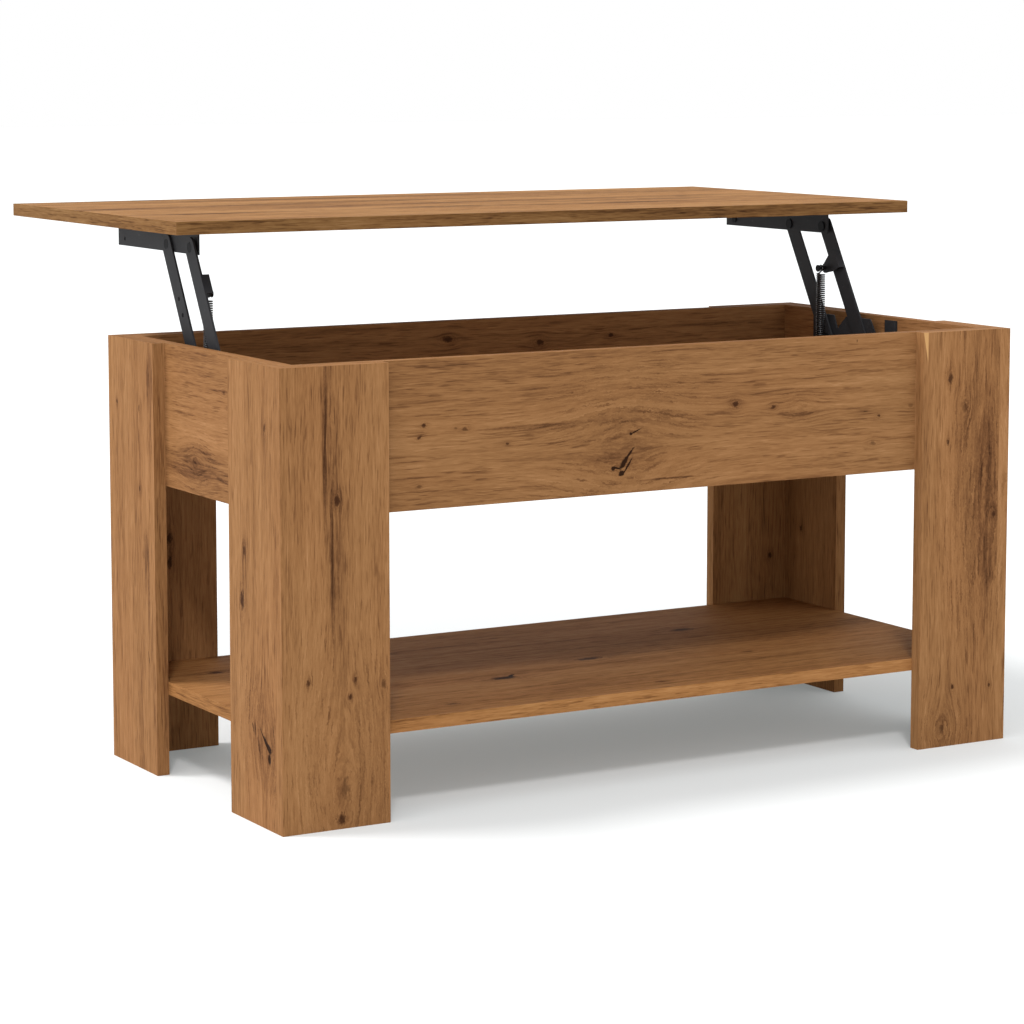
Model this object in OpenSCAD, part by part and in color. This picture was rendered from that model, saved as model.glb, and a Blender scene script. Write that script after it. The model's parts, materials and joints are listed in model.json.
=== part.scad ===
// Lift top coffee table: L-shaped board legs, a storage box, a shelf and a
// tabletop that rises and moves back on two parallelogram lift mechanisms.
// Millimetres. +X along the table, +Y the way the top moves as it rises, +Z up.
// The origin is on the floor, under the middle of the whole table's box with the
// top raised.

/* [Tabletop] */
// Length of the tabletop
top_length = 1020; // [1000:5:1100]
// Depth of the tabletop
top_width = 500; // [475:5:560]
// Thickness of the tabletop
top_thickness = 15; // [12:1:22]
// How far the top rises
lift_height = 130.5; // [110:0.5:140]
// How far the top moves back as it rises
lift_back = 246.6; // [220:0.2:250]

/* [Carcass] */
// Length over the legs
frame_length = 990; // [960:5:1000]
// Depth over the legs
frame_width = 466; // [450:2:470]
// Height of the legs and of the box's rim
leg_height = 510; // [460:5:560]
// Thickness of every board
board = 15; // [14:1:18]
// Width of the leg boards that face the front and the back
leg_face_width = 132; // [110:1:160]
// Width of the leg boards that face the sides
leg_side_width = 116; // [90:1:130]
// Height of the storage box's panels
box_height = 167; // [150:1:200]
// Height of the shelf's underside above the floor
shelf_z = 96; // [60:1:140]

/* [Lift mechanism] */
// Width of each lift arm
arm_width = 24; // [20:1:25]
// Thickness of each arm's flat bar
arm_thickness = 2.5; // [2.5:0.1:3]
// Thickness of the folded steel
steel = 2; // [1.5:0.1:2]
// How far the raised arms lean back from upright, in degrees
arm_lean = 29.5; // [25:0.5:30]
// Distance between the two arms' pivots
pivot_pitch = 72.5; // [68:0.5:78]
// Place of the front arm's top pivot behind the middle of the legs, top raised
pivot_top_y = 91.5; // [84:0.5:98]
// Drop of the top pivots below the tabletop
pivot_drop = 20.5; // [18:0.5:22]
// Diameter of the pivot rivets
pivot_d = 8; // [6:0.5:9]
// Length of the steel angle under the tabletop
rail_length = 233; // [200:0.5:260]
// Height of the steel angle under the tabletop
rail_height = 29; // [26:1:32]

/* [Springs] */
// Outer diameter of each lift spring
spring_d = 12; // [9:0.5:12]
// Wire diameter of each lift spring
wire_d = 1.6; // [1.2:0.1:2]
// Distance of the spring's upper stud along the front arm
stud_along = 113; // [108:0.5:118]
// Distance of the spring's upper stud behind the front arm's middle line
stud_behind = 15.5; // [14:0.1:16]
// Depth of the spring's lower pin below the arms' lower pivots
anchor_drop = 52; // [45:1:56]

/* [Fasteners] */
// Diameter of the wooden dowels
dowel_d = 8; // [6:1:8]
// Length of the wooden dowels
dowel_length = 30; // [26:1:34]
// Diameter of the cam discs
cam_d = 15; // [12:1:16]
// Diameter of the wood screws
screw_d = 4; // [3:0.5:5]

/* [Colours] */
// Colour of the oak boards
oak = "#a5764b"; // [#a5764b, #8f6540, #c39a6b]
// Colour of the lift mechanism
black_steel = "#3c3c3e"; // [#3c3c3e, #5a5a5c]
// Colour of screws, cams and springs
zinc = "#b9bbbe"; // [#b9bbbe, #9a9ca0]
// Colour of the dowels
beech = "#d8b98a"; // [#d8b98a, #c9a673]

/* [Hidden] */
$fn = 48;

// gaps
bore_gap = 0.1;        // around a dowel, a bolt or a screw in its hole
pivot_gap = 0.1;       // around a rivet in the arm that turns on it
open_pivot_gap = 0.3;  // around a rivet at the pivots that close the linkage
plate_gap = 0.4;       // between neighbouring steel plates
rim_gap = 0.5;         // between the closed top and the box's rim

// carcass planes, measured from the middle of the legs
out_x = frame_length / 2;
out_y = frame_width / 2;
panel_x = out_x - board;          // outside of the side panels
panel_y = out_y - board;          // outside of the front and back panels
in_x = panel_x - board;           // inside of the side panels
in_y = panel_y - board;           // inside of the front and back panels
box_z = leg_height - box_height;
edge_z = board / 2;               // mid thickness of a board that lies flat

// tabletop, raised
top_z = leg_height + rim_gap + lift_height;
origin_y = (lift_back + top_width / 2 - out_y) / 2;

// the lift's parallelogram: both end positions of the top lie on the arms' circle
closed_lean = arm_lean + 2 * atan(lift_height / lift_back);
arm_length = lift_height / (cos(arm_lean) - cos(closed_lean));
top_pivot_z = top_z - pivot_drop;
base_pivot_z = top_pivot_z - arm_length * cos(arm_lean);
base_pivot_y = pivot_top_y - arm_length * sin(arm_lean);

// the mechanism's layers, from the middle of the table outwards
rail_x = 444;                     // inner face of the rail's upright leg
rear_x = rail_x + steel + plate_gap;            // inner face of the rear arm
front_x = rear_x + arm_thickness + plate_gap;   // inner face of the front arm
bridge_x = front_x + arm_thickness + plate_gap; // inner face of the base bracket
head_t = 1.6;                     // thickness of a rivet's head on a plate
head_d = pivot_d + 5;
sunk_t = 1.2;                     // thickness of a rivet's head sunk in an arm
stop_d = 5;                       // rivet in the rail's back hole
lug_x = rail_x - 1 - steel;       // inner face of the spring's lug
spring_x = lug_x - 0.5 - spring_d / 2;
stud_d = 5;

// base bracket
bracket_low = base_pivot_z - anchor_drop - 15;
bracket_high = leg_height - 4;
bracket_front = base_pivot_y - 33;
bracket_back = base_pivot_y + pivot_pitch + 30;
foot_w = 22;

// the spring's two ends, top raised
stud_y = base_pivot_y + stud_along * sin(arm_lean) + stud_behind * cos(arm_lean);
stud_z = base_pivot_z + stud_along * cos(arm_lean) - stud_behind * sin(arm_lean);
anchor_z = base_pivot_z - anchor_drop;
loop_r = stud_d / 2 + 0.4 + wire_d / 2;         // middle radius of the hook's loop
hook_length = 13;                               // from a pin's middle to the coil
coil_low = anchor_z + hook_length;
coil_high = stud_z - hook_length;

// fastener spots: [x, y, z, direction out of the blind hole]
dowel_blind = 10;
cam_back = 34;                    // from a board's edge to its cam disc's middle
cam_t = 12;
shelf_edge = shelf_z + edge_z;
bottom_edge = box_z + edge_z;
leg_dowel_spots = [for (sx = [-1, 1], sy = [-1, 1], z = [60, 255, 450])
    [sx * (out_x - board / 2), sy * panel_y, z, [0, -sy, 0]]];
bottom_dowel_spots = concat(
    [for (sy = [-1, 1], x = [-350, 350]) [x, sy * in_y, bottom_edge, [0, -sy, 0]]],
    [for (sx = [-1, 1], y = [-120, 120]) [sx * in_x, y, bottom_edge, [-sx, 0, 0]]]);
shelf_dowel_spots = concat(
    [for (sy = [-1, 1], x = [-395, 395]) [x, sy * panel_y, shelf_edge, [0, -sy, 0]]],
    [for (sx = [-1, 1], y = [-130, 130]) [sx * panel_x, y, shelf_edge, [-sx, 0, 0]]]);
dowel_spots = concat(leg_dowel_spots, bottom_dowel_spots, shelf_dowel_spots);
cam_spots = concat(
    [for (sy = [-1, 1], x = [-250, 250]) [x, sy * in_y, bottom_edge, [0, -sy, 0]]],
    [for (sx = [-1, 1]) [sx * in_x, 0, bottom_edge, [-sx, 0, 0]]],
    [for (sy = [-1, 1], x = [-430, 430]) [x, sy * panel_y, shelf_edge, [0, -sy, 0]]],
    [for (sx = [-1, 1], y = [-165, 165]) [sx * panel_x, y, shelf_edge, [-sx, 0, 0]]]);
// [x, y, z, the way the screw goes in]
panel_screw_spots = [for (sx = [-1, 1], sy = [-1, 1], z = [box_z + 23, leg_height - 16])
    [sx * (in_x + board / 2), sy * panel_y, z, [0, -sy, 0]]];
leg_screw_spots = concat(
    [for (sx = [-1, 1], sy = [-1, 1], z = [box_z + 42, leg_height - 60])
        [sx * (out_x - 95), sy * in_y, z, [0, sy, 0]]],
    [for (sx = [-1, 1], sy = [-1, 1], z = [box_z + 42, leg_height - 60])
        [sx * in_x, sy * (in_y - 23), z, [sx, 0, 0]]]);
base_screw_ys = [bracket_front - foot_w / 2, bracket_back + foot_w / 2];
base_screw_zs = [bracket_low + 19, bracket_high - 19];
rail_back = pivot_top_y - 12 + rail_length;
rail_screw_ys = [pivot_top_y + 11, pivot_top_y + 105, rail_back - 23];
rail_screw_x = rail_x - 13;
rail_flange = 25;

// ---- helpers ----

// moves a piece from the legs' middle to the table's origin
module place() {
    translate([0, -origin_y, 0]) children();
}

// draws a right-hand piece on the right (1) or its mirror image on the left (-1)
module on_side(side) {
    place() {
        if (side > 0) children();
        else mirror([1, 0, 0]) children();
    }
}

// a flat plate drawn in Y and Z, from x0 to x1
module yz_plate(x0, x1) {
    translate([x0, 0, 0]) rotate([90, 0, 90]) linear_extrude(x1 - x0) children();
}

// a round bar along X, from x0 to x1
module x_bar(y, z, x0, x1, d) {
    translate([x0, y, z]) rotate([0, 90, 0]) cylinder(d = d, h = x1 - x0);
}

// stands its children's +Z along a horizontal direction
module face_along(direction) {
    rotate([0, 90, atan2(direction[1], direction[0])]) children();
}

// a box from one corner to the other
module block(low, high) {
    translate(low) cube(high - low);
}

module at_spots(spots) {
    for (spot = spots) {
        translate([spot[0], spot[1], spot[2]]) face_along(spot[3]) children();
    }
}

module dowel(gap = 0) {
    translate([0, 0, -dowel_blind - gap])
        cylinder(d = dowel_d + 2 * gap, h = dowel_length + 2 * gap);
}

// the threaded bolt that a cam disc pulls on, with its head inside the disc
module cam_bolt(gap = 0) {
    translate([0, 0, -dowel_blind - gap]) cylinder(d = 6 + 2 * gap, h = 12 + gap);
    cylinder(d = 5 + 2 * gap, h = cam_back - 4);
    translate([0, 0, cam_back - 4]) cylinder(d = 7 + 2 * gap, h = 3 + gap);
}

// a disc let into the underside of its board, beside the joint
module cam_disc(gap = 0) {
    translate([edge_z + gap / 2, 0, cam_back]) rotate([0, -90, 0])
        cylinder(d = cam_d + 2 * gap, h = cam_t + gap);
}

// a countersunk screw whose head lies flush with the face it enters
module sunk_screw(d, length, gap = 0) {
    head_h = d * 0.6;
    cylinder(d1 = 2 * d + 2 * gap, d2 = d + 2 * gap, h = head_h);
    cylinder(d = d + 2 * gap, h = length + gap);
}

// a pan-head screw: the head stands proud of the face it enters
module pan_screw(length, gap = 0) {
    translate([0, 0, -2.2]) cylinder(d = 2 * screw_d, h = 2.2);
    cylinder(d = screw_d + 2 * gap, h = length + gap);
}

module fastener_bores() {
    at_spots(dowel_spots) dowel(bore_gap);
    at_spots(cam_spots) {
        cam_bolt(bore_gap);
        cam_disc(bore_gap);
    }
    at_spots(panel_screw_spots) sunk_screw(5, 45, bore_gap);
    at_spots(leg_screw_spots) sunk_screw(screw_d, 26, bore_gap);
}

// an oak board with the bores of every fastener that reaches it
module oak_board(low, high) {
    color(oak) place() difference() {
        block(low, high);
        fastener_bores();
    }
}

// ---- legs ----

// sx and sy are -1 or 1: left or right, front or back
module leg_face_board(sx, sy) {
    x0 = sx > 0 ? out_x - leg_face_width : -out_x;
    y0 = sy > 0 ? panel_y : -out_y;
    oak_board([x0, y0, 0], [x0 + leg_face_width, y0 + board, leg_height]);
}

module leg_side_board(sx, sy) {
    x0 = sx > 0 ? panel_x : -out_x;
    y0 = sy > 0 ? panel_y - leg_side_width : -panel_y;
    oak_board([x0, y0, 0], [x0 + board, y0 + leg_side_width, leg_height]);
}

module leg_front_left_face() { leg_face_board(-1, -1); }
module leg_front_left_side() { leg_side_board(-1, -1); }
module leg_front_right_face() { leg_face_board(1, -1); }
module leg_front_right_side() { leg_side_board(1, -1); }
module leg_back_left_face() { leg_face_board(-1, 1); }
module leg_back_left_side() { leg_side_board(-1, 1); }
module leg_back_right_face() { leg_face_board(1, 1); }
module leg_back_right_side() { leg_side_board(1, 1); }

// ---- storage box and shelf ----

module panel_front() {
    oak_board([-panel_x, -panel_y, box_z], [panel_x, -in_y, leg_height]);
}

module panel_back() {
    oak_board([-panel_x, in_y, box_z], [panel_x, panel_y, leg_height]);
}

// the base bracket's screws go into the side panels
module side_panel(side) {
    color(oak) on_side(side) difference() {
        block([in_x, -in_y, box_z], [panel_x, in_y, leg_height]);
        fastener_bores();
        base_screw_set(bore_gap);
    }
}

module panel_left() { side_panel(-1); }
module panel_right() { side_panel(1); }

module box_bottom() {
    oak_board([-in_x, -in_y, box_z], [in_x, in_y, box_z + board]);
}

module shelf() {
    oak_board([-panel_x, -panel_y, shelf_z], [panel_x, panel_y, shelf_z + board]);
}

// ---- tabletop ----

module tabletop() {
    color(oak) place() difference() {
        block([-top_length / 2, lift_back - top_width / 2, top_z],
              [top_length / 2, lift_back + top_width / 2, top_z + top_thickness]);
        rail_screw_set(bore_gap);
        mirror([1, 0, 0]) rail_screw_set(bore_gap);
    }
}

// ---- fasteners ----

module dowels() {
    color(beech) place() at_spots(dowel_spots) dowel();
}

module cam_bolts() {
    color(zinc) place() at_spots(cam_spots) cam_bolt();
}

// each disc has the pocket that the bolt's head turns in
module cam_discs() {
    color(zinc) place() at_spots(cam_spots) difference() {
        cam_disc();
        cam_bolt(0.2);
        translate([0, 0, cam_back - cam_d]) cylinder(d = 7.4, h = cam_d);
    }
}

module panel_screws() {
    color(zinc) place() at_spots(panel_screw_spots) sunk_screw(5, 45);
}

module leg_screws() {
    color(zinc) place() at_spots(leg_screw_spots) sunk_screw(screw_d, 26);
}

module base_screw_set(gap = 0) {
    for (y = base_screw_ys, z = base_screw_zs) {
        translate([in_x - steel, y, z]) face_along([1, 0, 0]) pan_screw(13, gap);
    }
}

module rail_screw_set(gap = 0) {
    for (y = rail_screw_ys) {
        translate([rail_screw_x, y, top_z - steel]) pan_screw(12, gap);
    }
}

// ---- base bracket: a folded plate that stands the arms off the side panel ----

module bracket_bridge() {
    front_y = base_pivot_y;
    rear_y = base_pivot_y + pivot_pitch;
    notch_y = front_y + 57;
    difference() {
        yz_plate(bridge_x, bridge_x + steel) polygon([
            [bracket_front, bracket_low],
            [bracket_back, bracket_low],
            [bracket_back, bracket_high],
            [rear_y - 8, bracket_high],
            [notch_y, bracket_high - 18],
            [front_y + 37, bracket_high],
            [front_y - 14, bracket_high],
            [bracket_front, base_pivot_z]]);
        for (y = [front_y, rear_y]) {
            x_bar(y, base_pivot_z, bridge_x - 1, bridge_x + steel + 1, pivot_d);
        }
        x_bar(stud_y, anchor_z, bridge_x - 1, bridge_x + steel + 1, stud_d);
    }
}

// a foot that lies on the side panel, with the fold that joins it to the bridge
module bracket_foot(y_bend, direction) {
    y0 = direction > 0 ? y_bend - steel : y_bend - foot_w;
    bend_y = direction > 0 ? y_bend - steel : y_bend;
    fold_high = direction > 0 ? bracket_high : base_pivot_z;
    difference() {
        union() {
            block([in_x - steel, y0, bracket_low],
                  [in_x, y0 + foot_w + steel, bracket_high]);
            block([bridge_x, bend_y, bracket_low], [in_x, bend_y + steel, fold_high]);
        }
        for (z = base_screw_zs) {
            x_bar(y_bend + direction * foot_w / 2, z, in_x - steel - 1, in_x + 1,
                  screw_d + 2 * bore_gap);
        }
    }
}

module base_bracket(side) {
    color(black_steel) on_side(side) {
        bracket_bridge();
        bracket_foot(bracket_front, -1);
        bracket_foot(bracket_back, 1);
    }
}

module base_bracket_left() { base_bracket(-1); }
module base_bracket_right() { base_bracket(1); }

// a stepped rivet from x0 to x1, with a head of its own size at each end and a collar
// that spaces the plates
module pivot_rivet(y, z, x0, x1, collar, first_head, last_head) {
    x_bar(y, z, x0, x1, pivot_d);
    x_bar(y, z, collar[0], collar[1], head_d - 1);
    x_bar(y, z, x0, x0 + first_head[0], first_head[1]);
    x_bar(y, z, x1 - last_head[0], x1, last_head[1]);
}

// the front arm's rivet, then the rear arm's, which spans the front arm's layer; the
// inner heads lie sunk in the arms
module base_rivets(side) {
    tail = bridge_x + steel + head_t;
    color(zinc) on_side(side) {
        for (pivot = [[base_pivot_y, front_x], [base_pivot_y + pivot_pitch, rear_x]]) {
            pivot_rivet(pivot[0], base_pivot_z, pivot[1], tail,
                        [pivot[1] + arm_thickness + 0.1, bridge_x],
                        [sunk_t, head_d - 1], [head_t, head_d]);
        }
    }
}

module base_rivets_left() { base_rivets(-1); }
module base_rivets_right() { base_rivets(1); }

module base_screws_left() { color(zinc) on_side(-1) base_screw_set(); }
module base_screws_right() { color(zinc) on_side(1) base_screw_set(); }

// ---- top rail: a steel angle under the tabletop ----

module top_rail(side) {
    y0 = pivot_top_y - 12;
    color(black_steel) on_side(side) difference() {
        union() {
            block([rail_x, y0, top_z - rail_height], [rail_x + steel, rail_back, top_z]);
            block([rail_x + steel - rail_flange, y0, top_z - steel],
                  [rail_x + steel, rail_back, top_z]);
        }
        for (y = [pivot_top_y, pivot_top_y + pivot_pitch]) {
            x_bar(y, top_pivot_z, rail_x - 1, rail_x + steel + 1, pivot_d);
        }
        x_bar(rail_back - 20, top_pivot_z, rail_x - 1, rail_x + steel + 1, stop_d);
        for (y = rail_screw_ys) {
            translate([rail_screw_x, y, top_z - steel - 1])
                cylinder(d = screw_d + 2 * bore_gap, h = steel + 2);
        }
    }
}

module top_rail_left() { top_rail(-1); }
module top_rail_right() { top_rail(1); }

// the pivots' outer heads lie sunk in the arms; a plain rivet fills the rail's back
// hole, its outer end a little below the rail's face
module top_rivets(side) {
    near = rail_x - head_t;
    color(zinc) on_side(side) {
        for (pivot = [[pivot_top_y, front_x], [pivot_top_y + pivot_pitch, rear_x]]) {
            pivot_rivet(pivot[0], top_pivot_z, near, pivot[1] + arm_thickness,
                        [rail_x + steel, pivot[1] - 0.1],
                        [head_t, head_d], [sunk_t, head_d - 1]);
        }
        x_bar(rail_back - 20, top_pivot_z, near, rail_x + steel - 0.6, stop_d);
        x_bar(rail_back - 20, top_pivot_z, near, rail_x, stop_d + 4);
    }
}

module top_rivets_left() { top_rivets(-1); }
module top_rivets_right() { top_rivets(1); }

module top_screws_left() { color(zinc) on_side(-1) rail_screw_set(); }
module top_screws_right() { color(zinc) on_side(1) rail_screw_set(); }

// ---- lift arms: flat steel bars with round ends ----

// moves an arm drawn upright, with its lower pivot at 0, to its raised place
module raise_arm(lower_y) {
    translate([0, lower_y, base_pivot_z]) rotate([-arm_lean, 0, 0]) children();
}

// a pivot hole through an arm, widened from one face for the rivet's sunk head
module pivot_hole(z, x0, sunk_side, gap) {
    x1 = x0 + arm_thickness;
    depth = sunk_t + 0.1;
    x_bar(0, z, x0 - 1, x1 + 1, pivot_d + 2 * gap);
    x_bar(0, z, sunk_side < 0 ? x0 - 1 : x1 - depth, sunk_side < 0 ? x0 + depth : x1 + 1,
          head_d - 1 + 2 * gap);
}

// the marks are blind hollows pressed into the outer face
module arm_bar(x0, top_gap, marks) {
    x1 = x0 + arm_thickness;
    difference() {
        yz_plate(x0, x1) {
            translate([-arm_width / 2, 0]) square([arm_width, arm_length]);
            circle(d = arm_width);
            translate([0, arm_length]) circle(d = arm_width);
        }
        pivot_hole(0, x0, -1, pivot_gap);
        pivot_hole(arm_length, x0, 1, top_gap);
        for (z = marks) x_bar(0, z, x1 - 1.5, x1 + 1, 5);
    }
}

module rear_arm(side, top_gap) {
    color(black_steel) on_side(side) raise_arm(base_pivot_y + pivot_pitch)
        arm_bar(rear_x, top_gap, [73, 94]);
}

module rear_arm_left() { rear_arm(-1, pivot_gap); }
module rear_arm_right() { rear_arm(1, open_pivot_gap); }

// the lug is folded around the front arm's front edge, past the closed rail, and
// carries the spring's stud
module spring_lug() {
    half = 12;
    low = stud_along - half;
    high = stud_along + half;
    block([lug_x, -arm_width / 2, low], [front_x + 1, steel - arm_width / 2, high]);
    difference() {
        yz_plate(lug_x, lug_x + steel) {
            polygon([[-arm_width / 2, low], [-arm_width / 2, high], [0, high],
                     [stud_behind, stud_along + 6.5], [stud_behind, stud_along - 6.5],
                     [0, low]]);
            translate([stud_behind, stud_along]) circle(r = 6.5);
        }
        x_bar(stud_behind, stud_along, lug_x - 1, lug_x + steel + 1, stud_d);
    }
}

module front_arm(side) {
    color(black_steel) on_side(side) raise_arm(base_pivot_y) {
        arm_bar(front_x, open_pivot_gap, []);
        spring_lug();
    }
}

module front_arm_left() { front_arm(-1); }
module front_arm_right() { front_arm(1); }

// ---- springs ----

// a headed pin that one of the spring's hooks hangs on
module hook_pin(y, z, outer_x) {
    inner_x = spring_x - 4;
    x_bar(y, z, inner_x, outer_x, stud_d);
    x_bar(y, z, inner_x - 1.5, inner_x, stud_d + 4);
}

module spring_stud(side) {
    color(zinc) on_side(side) hook_pin(stud_y, stud_z, lug_x + steel);
}

// the lower pin has a shoulder against the base bracket
module spring_anchor(side) {
    color(zinc) on_side(side) {
        hook_pin(stud_y, anchor_z, bridge_x + steel);
        x_bar(stud_y, anchor_z, spring_x + 4, bridge_x, stud_d + 3);
    }
}

module spring_stud_left() { spring_stud(-1); }
module spring_stud_right() { spring_stud(1); }
module spring_anchor_left() { spring_anchor(-1); }
module spring_anchor_right() { spring_anchor(1); }

// one end of the wire: a closed loop around a pin, and the straight to the coil
module wire_hook(pin_z, direction) {
    straight_from = direction > 0 ? loop_r : -hook_length;
    translate([spring_x, stud_y, pin_z]) {
        rotate([0, 90, 0]) rotate_extrude()
            translate([loop_r, 0]) circle(d = wire_d);
        translate([0, 0, straight_from])
            cylinder(d = wire_d, h = hook_length - loop_r);
    }
}

// the coil: a ribbed tube of the wire's outer and inner diameters
module coil() {
    turns = 36;
    pitch = (coil_high - coil_low) / turns;
    outer = spring_d / 2;
    ribs = [for (i = [0 : turns - 1])
        each [[outer - wire_d / 2, coil_low + i * pitch],
              [outer, coil_low + (i + 0.5) * pitch]]];
    translate([spring_x, stud_y, 0]) {
        rotate_extrude() polygon(concat(
            [[outer - wire_d, coil_low]], ribs,
            [[outer - wire_d / 2, coil_high], [outer - wire_d, coil_high]]));
        translate([0, 0, coil_high - wire_d]) cylinder(r = outer - wire_d / 2, h = wire_d);
    }
}

module spring(side) {
    color(zinc) on_side(side) {
        wire_hook(stud_z, -1);
        coil();
    }
}

// the lower end of the wire stays on its pin while the coil stretches
module spring_hook(side) {
    cap = wire_d;
    color(zinc) on_side(side) {
        wire_hook(anchor_z, 1);
        translate([spring_x, stud_y, coil_low - 0.3 - cap])
            cylinder(r = spring_d / 2 - wire_d / 2, h = cap);
    }
}

module spring_left() { spring(-1); }
module spring_right() { spring(1); }
module spring_hook_left() { spring_hook(-1); }
module spring_hook_right() { spring_hook(1); }

leg_front_left_face();
leg_front_left_side();
leg_front_right_face();
leg_front_right_side();
leg_back_left_face();
leg_back_left_side();
leg_back_right_face();
leg_back_right_side();
panel_front();
panel_back();
panel_left();
panel_right();
box_bottom();
shelf();
tabletop();
dowels();
cam_bolts();
cam_discs();
panel_screws();
leg_screws();
base_bracket_left();
base_bracket_right();
base_rivets_left();
base_rivets_right();
base_screws_left();
base_screws_right();
top_rail_left();
top_rail_right();
top_rivets_left();
top_rivets_right();
top_screws_left();
top_screws_right();
rear_arm_left();
rear_arm_right();
front_arm_left();
front_arm_right();
spring_stud_left();
spring_stud_right();
spring_anchor_left();
spring_anchor_right();
spring_left();
spring_right();
spring_hook_left();
spring_hook_right();
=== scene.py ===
import json
import math
from collections import namedtuple

import bmesh
import bpy
from mathutils import Matrix, Vector


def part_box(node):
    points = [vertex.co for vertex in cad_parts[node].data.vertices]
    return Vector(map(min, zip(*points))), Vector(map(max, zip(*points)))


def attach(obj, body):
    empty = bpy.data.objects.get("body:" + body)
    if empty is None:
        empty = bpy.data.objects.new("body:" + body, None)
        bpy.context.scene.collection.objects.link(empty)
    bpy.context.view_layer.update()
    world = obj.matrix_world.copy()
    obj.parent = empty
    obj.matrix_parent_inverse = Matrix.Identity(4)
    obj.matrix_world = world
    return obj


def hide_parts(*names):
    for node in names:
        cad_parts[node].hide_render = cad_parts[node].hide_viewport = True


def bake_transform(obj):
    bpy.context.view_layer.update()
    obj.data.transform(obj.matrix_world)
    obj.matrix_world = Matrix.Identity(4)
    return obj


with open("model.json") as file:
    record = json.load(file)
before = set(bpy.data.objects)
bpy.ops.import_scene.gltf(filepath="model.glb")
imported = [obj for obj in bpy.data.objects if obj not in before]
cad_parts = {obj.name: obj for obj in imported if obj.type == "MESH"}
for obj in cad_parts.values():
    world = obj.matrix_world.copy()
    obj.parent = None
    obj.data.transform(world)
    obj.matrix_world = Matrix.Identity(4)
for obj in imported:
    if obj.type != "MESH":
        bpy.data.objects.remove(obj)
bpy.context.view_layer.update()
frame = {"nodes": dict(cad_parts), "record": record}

# Looks of the lift top coffee table. Metres, in the row frame: +X along the table,
# +Y the way the top moves as it rises, +Z up.

SIDES = ("left", "right")
MM = 0.001

# ---- camera, floor and light ----

CAMERA_PLACE = (-1.957, -3.385, 0.845)
CAMERA_YAW = 30.07       # degrees to the right of +Y
CAMERA_PITCH = 6.46      # degrees below the horizon
CAMERA_LENS = 111.0
CAMERA_SHIFT = -0.1
ROOM_LIGHT = 0.82        # of the white room, on everything but the camera
ROOM_SEEN = 1.0          # of the white room, as the camera sees it
FLOOR_SIZE = 60
FLOOR_PAINT = (0.62, 0.62, 0.62, 1)
FLOOR_GLOW = (0.86, 1.0, 1.03, 1)
FLOOR_GLOW_STRENGTH = 0.19


def add_camera():
    camera = bpy.data.objects.new("camera", bpy.data.cameras.new("camera"))
    bpy.context.scene.collection.objects.link(camera)
    camera.location = CAMERA_PLACE
    camera.rotation_euler = (
        math.radians(90 - CAMERA_PITCH), 0, -math.radians(CAMERA_YAW))
    camera.data.lens = CAMERA_LENS
    camera.data.shift_y = CAMERA_SHIFT
    camera.data.clip_end = 100
    bpy.context.scene.camera = camera


def add_sun(name, comes_from, strength, softness):
    """A soft lamp whose light comes from that direction; softness is its width in degrees."""
    lamp = bpy.data.lights.new(name, "SUN")
    lamp.energy = strength
    lamp.angle = math.radians(softness)
    holder = bpy.data.objects.new(name, lamp)
    bpy.context.scene.collection.objects.link(holder)
    holder.rotation_euler = Vector(comes_from).to_track_quat("Z", "Y").to_euler()


def add_surroundings():
    """A white room: what the camera sees of it is white, and it fills the shadows."""
    world = bpy.data.worlds.new("white_room")
    world.use_nodes = True
    bpy.context.scene.world = world
    tree = world.node_tree
    background = tree.nodes["Background"]
    background.inputs["Color"].default_value = (1, 1, 1, 1)
    background.inputs["Strength"].default_value = ROOM_LIGHT
    seen = tree.nodes.new("ShaderNodeBackground")
    seen.inputs["Color"].default_value = (1, 1, 1, 1)
    seen.inputs["Strength"].default_value = ROOM_SEEN
    path = tree.nodes.new("ShaderNodeLightPath")
    mix = tree.nodes.new("ShaderNodeMixShader")
    tree.links.new(path.outputs["Is Camera Ray"], mix.inputs["Fac"])
    tree.links.new(background.outputs["Background"], mix.inputs[1])
    tree.links.new(seen.outputs["Background"], mix.inputs[2])
    tree.links.new(mix.outputs["Shader"], tree.nodes["World Output"].inputs["Surface"])
    bpy.context.scene.view_settings.view_transform = "Standard"


def add_floor():
    bpy.ops.mesh.primitive_plane_add(size=FLOOR_SIZE, location=(0, 0, 0))
    floor = bpy.context.object
    floor.name = "floor"
    paint = bpy.data.materials.new("pale_floor")
    paint.use_nodes = True
    shader = paint.node_tree.nodes["Principled BSDF"]
    shader.inputs["Base Color"].default_value = FLOOR_PAINT
    shader.inputs["Roughness"].default_value = 0.9
    shader.inputs["Specular IOR Level"].default_value = 0.1
    shader.inputs["Emission Color"].default_value = FLOOR_GLOW
    shader.inputs["Emission Strength"].default_value = FLOOR_GLOW_STRENGTH
    floor.data.materials.append(paint)


# ---- shader building ----

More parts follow.
